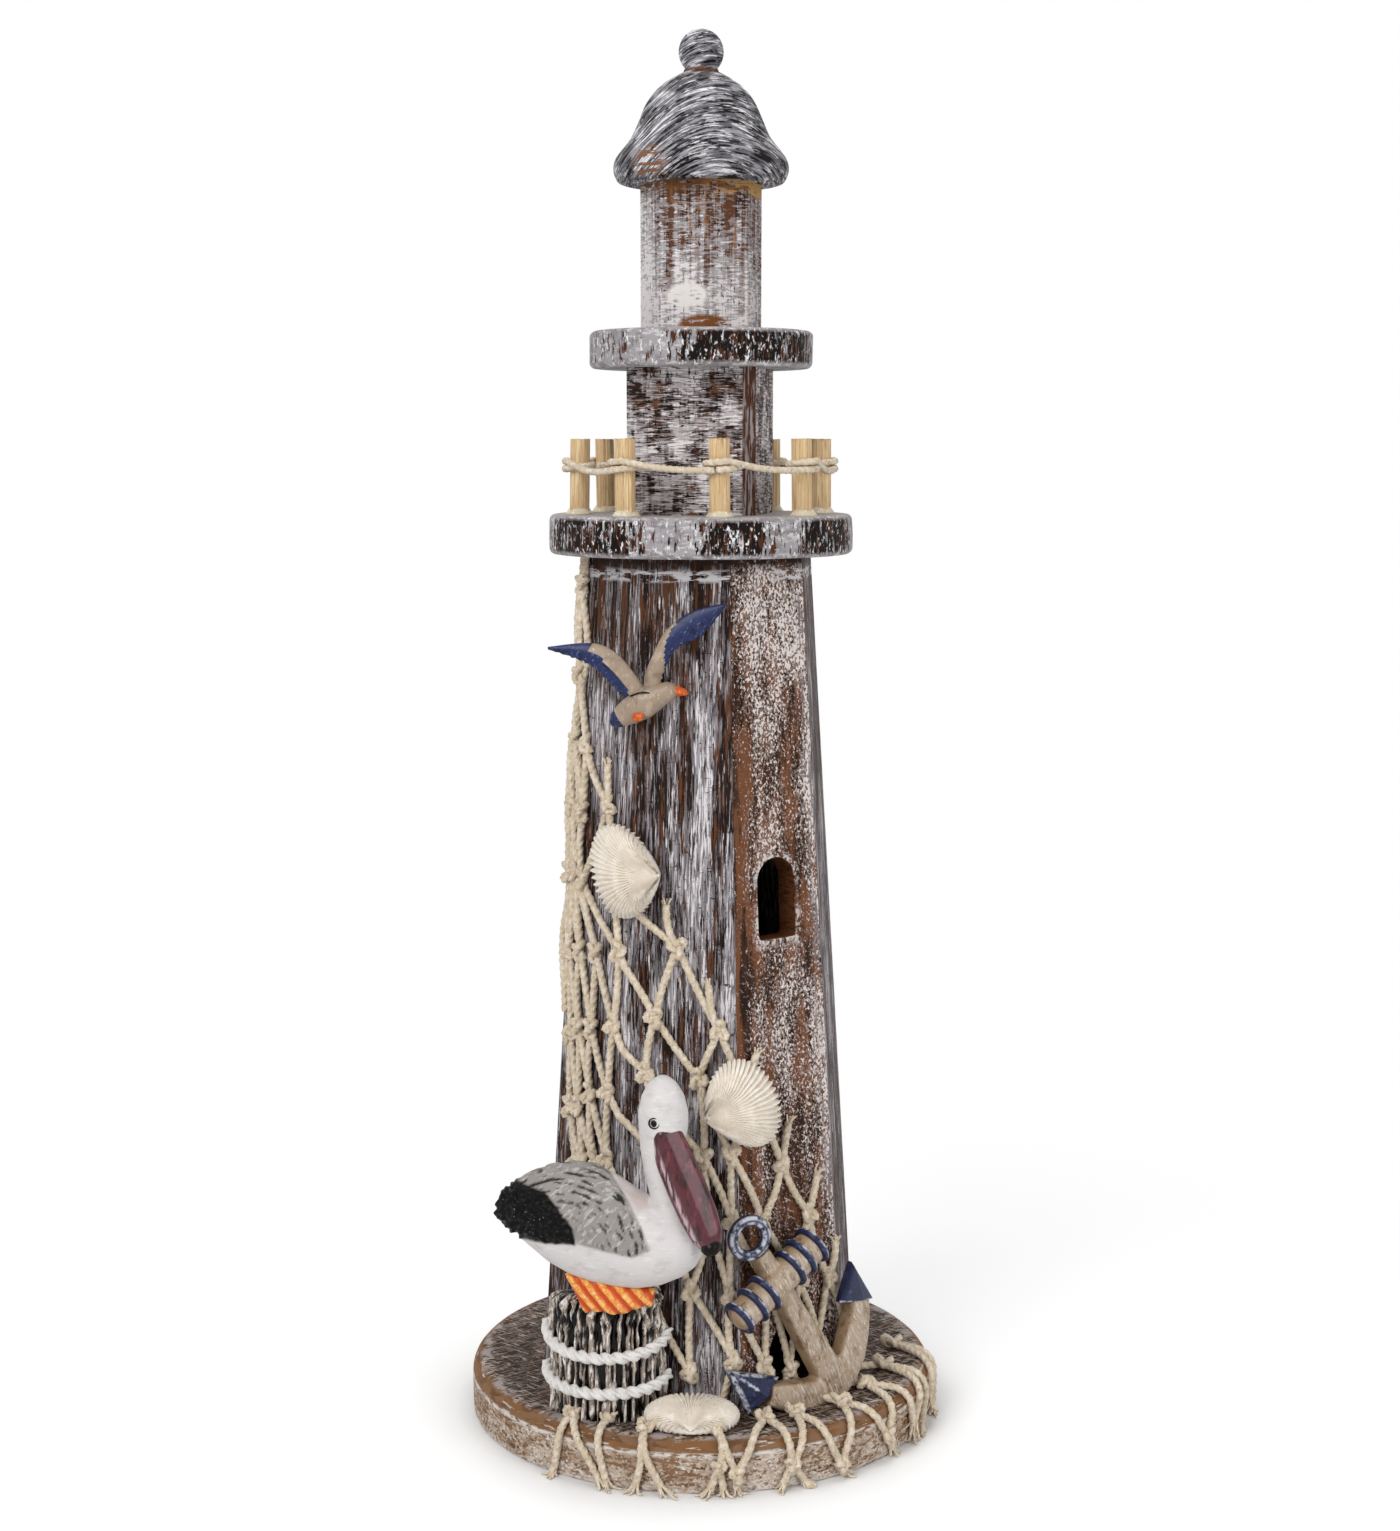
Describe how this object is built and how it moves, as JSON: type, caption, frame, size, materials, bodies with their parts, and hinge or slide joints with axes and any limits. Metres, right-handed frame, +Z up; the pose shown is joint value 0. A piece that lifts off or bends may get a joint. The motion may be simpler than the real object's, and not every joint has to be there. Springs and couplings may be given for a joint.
{
  "type": "lighthouse ornament",
  "caption": "Tapering eight-sided wooden lighthouse ornament on a round base, with a railed gallery, bell roof, draped net, shells and small resin castings.",
  "frame": {"origin": "centre of the round base's underside", "axes": "+Z up the tower, -Y out of the decorated front"},
  "size_m": [0.1313, 0.1328, 0.38],
  "materials": {
    "washed_wood": "white dry-brushed over dark stain",
    "base_wood": "stained, lightly dry-brushed",
    "dowel_wood": "bare",
    "bamboo": "bare",
    "cotton_twine": "twisted cotton",
    "shell": "matte",
    "beige_resin": "painted",
    "pelican_resin": "painted"
  },
  "bodies": {
    "root": {"anchor": "beige_resin", "ball_finial": "washed_wood", "base_disc": "base_wood", "bell_cap": "washed_wood", "cap_dowel": "dowel_wood", "fishing_net": "cotton_twine", "gallery_disc": "washed_wood", "gallery_dowel": "dowel_wood", "gull": "beige_resin", "lantern_disc": "washed_wood", "lantern_dowel": "dowel_wood", "lantern_room": "washed_wood", "net_fringe": "cotton_twine", "pelican": "pelican_resin", "rail_cord": "cotton_twine", "rail_post_1": "bamboo", "rail_post_2": "bamboo", "rail_post_3": "bamboo", "rail_post_4": "bamboo", "rail_post_5": "bamboo", "rail_post_6": "bamboo", "rail_post_7": "bamboo", "rail_post_8": "bamboo", "shell_foot": "shell", "shell_middle": "shell", "shell_upper": "shell", "stave_back": "washed_wood", "stave_back_left": "washed_wood", "stave_back_right": "washed_wood", "stave_front": "washed_wood", "stave_front_left": "washed_wood", "stave_front_right": "washed_wood", "stave_left": "washed_wood", "stave_right": "washed_wood", "watch_room": "washed_wood"}
  },
  "joints": []
}
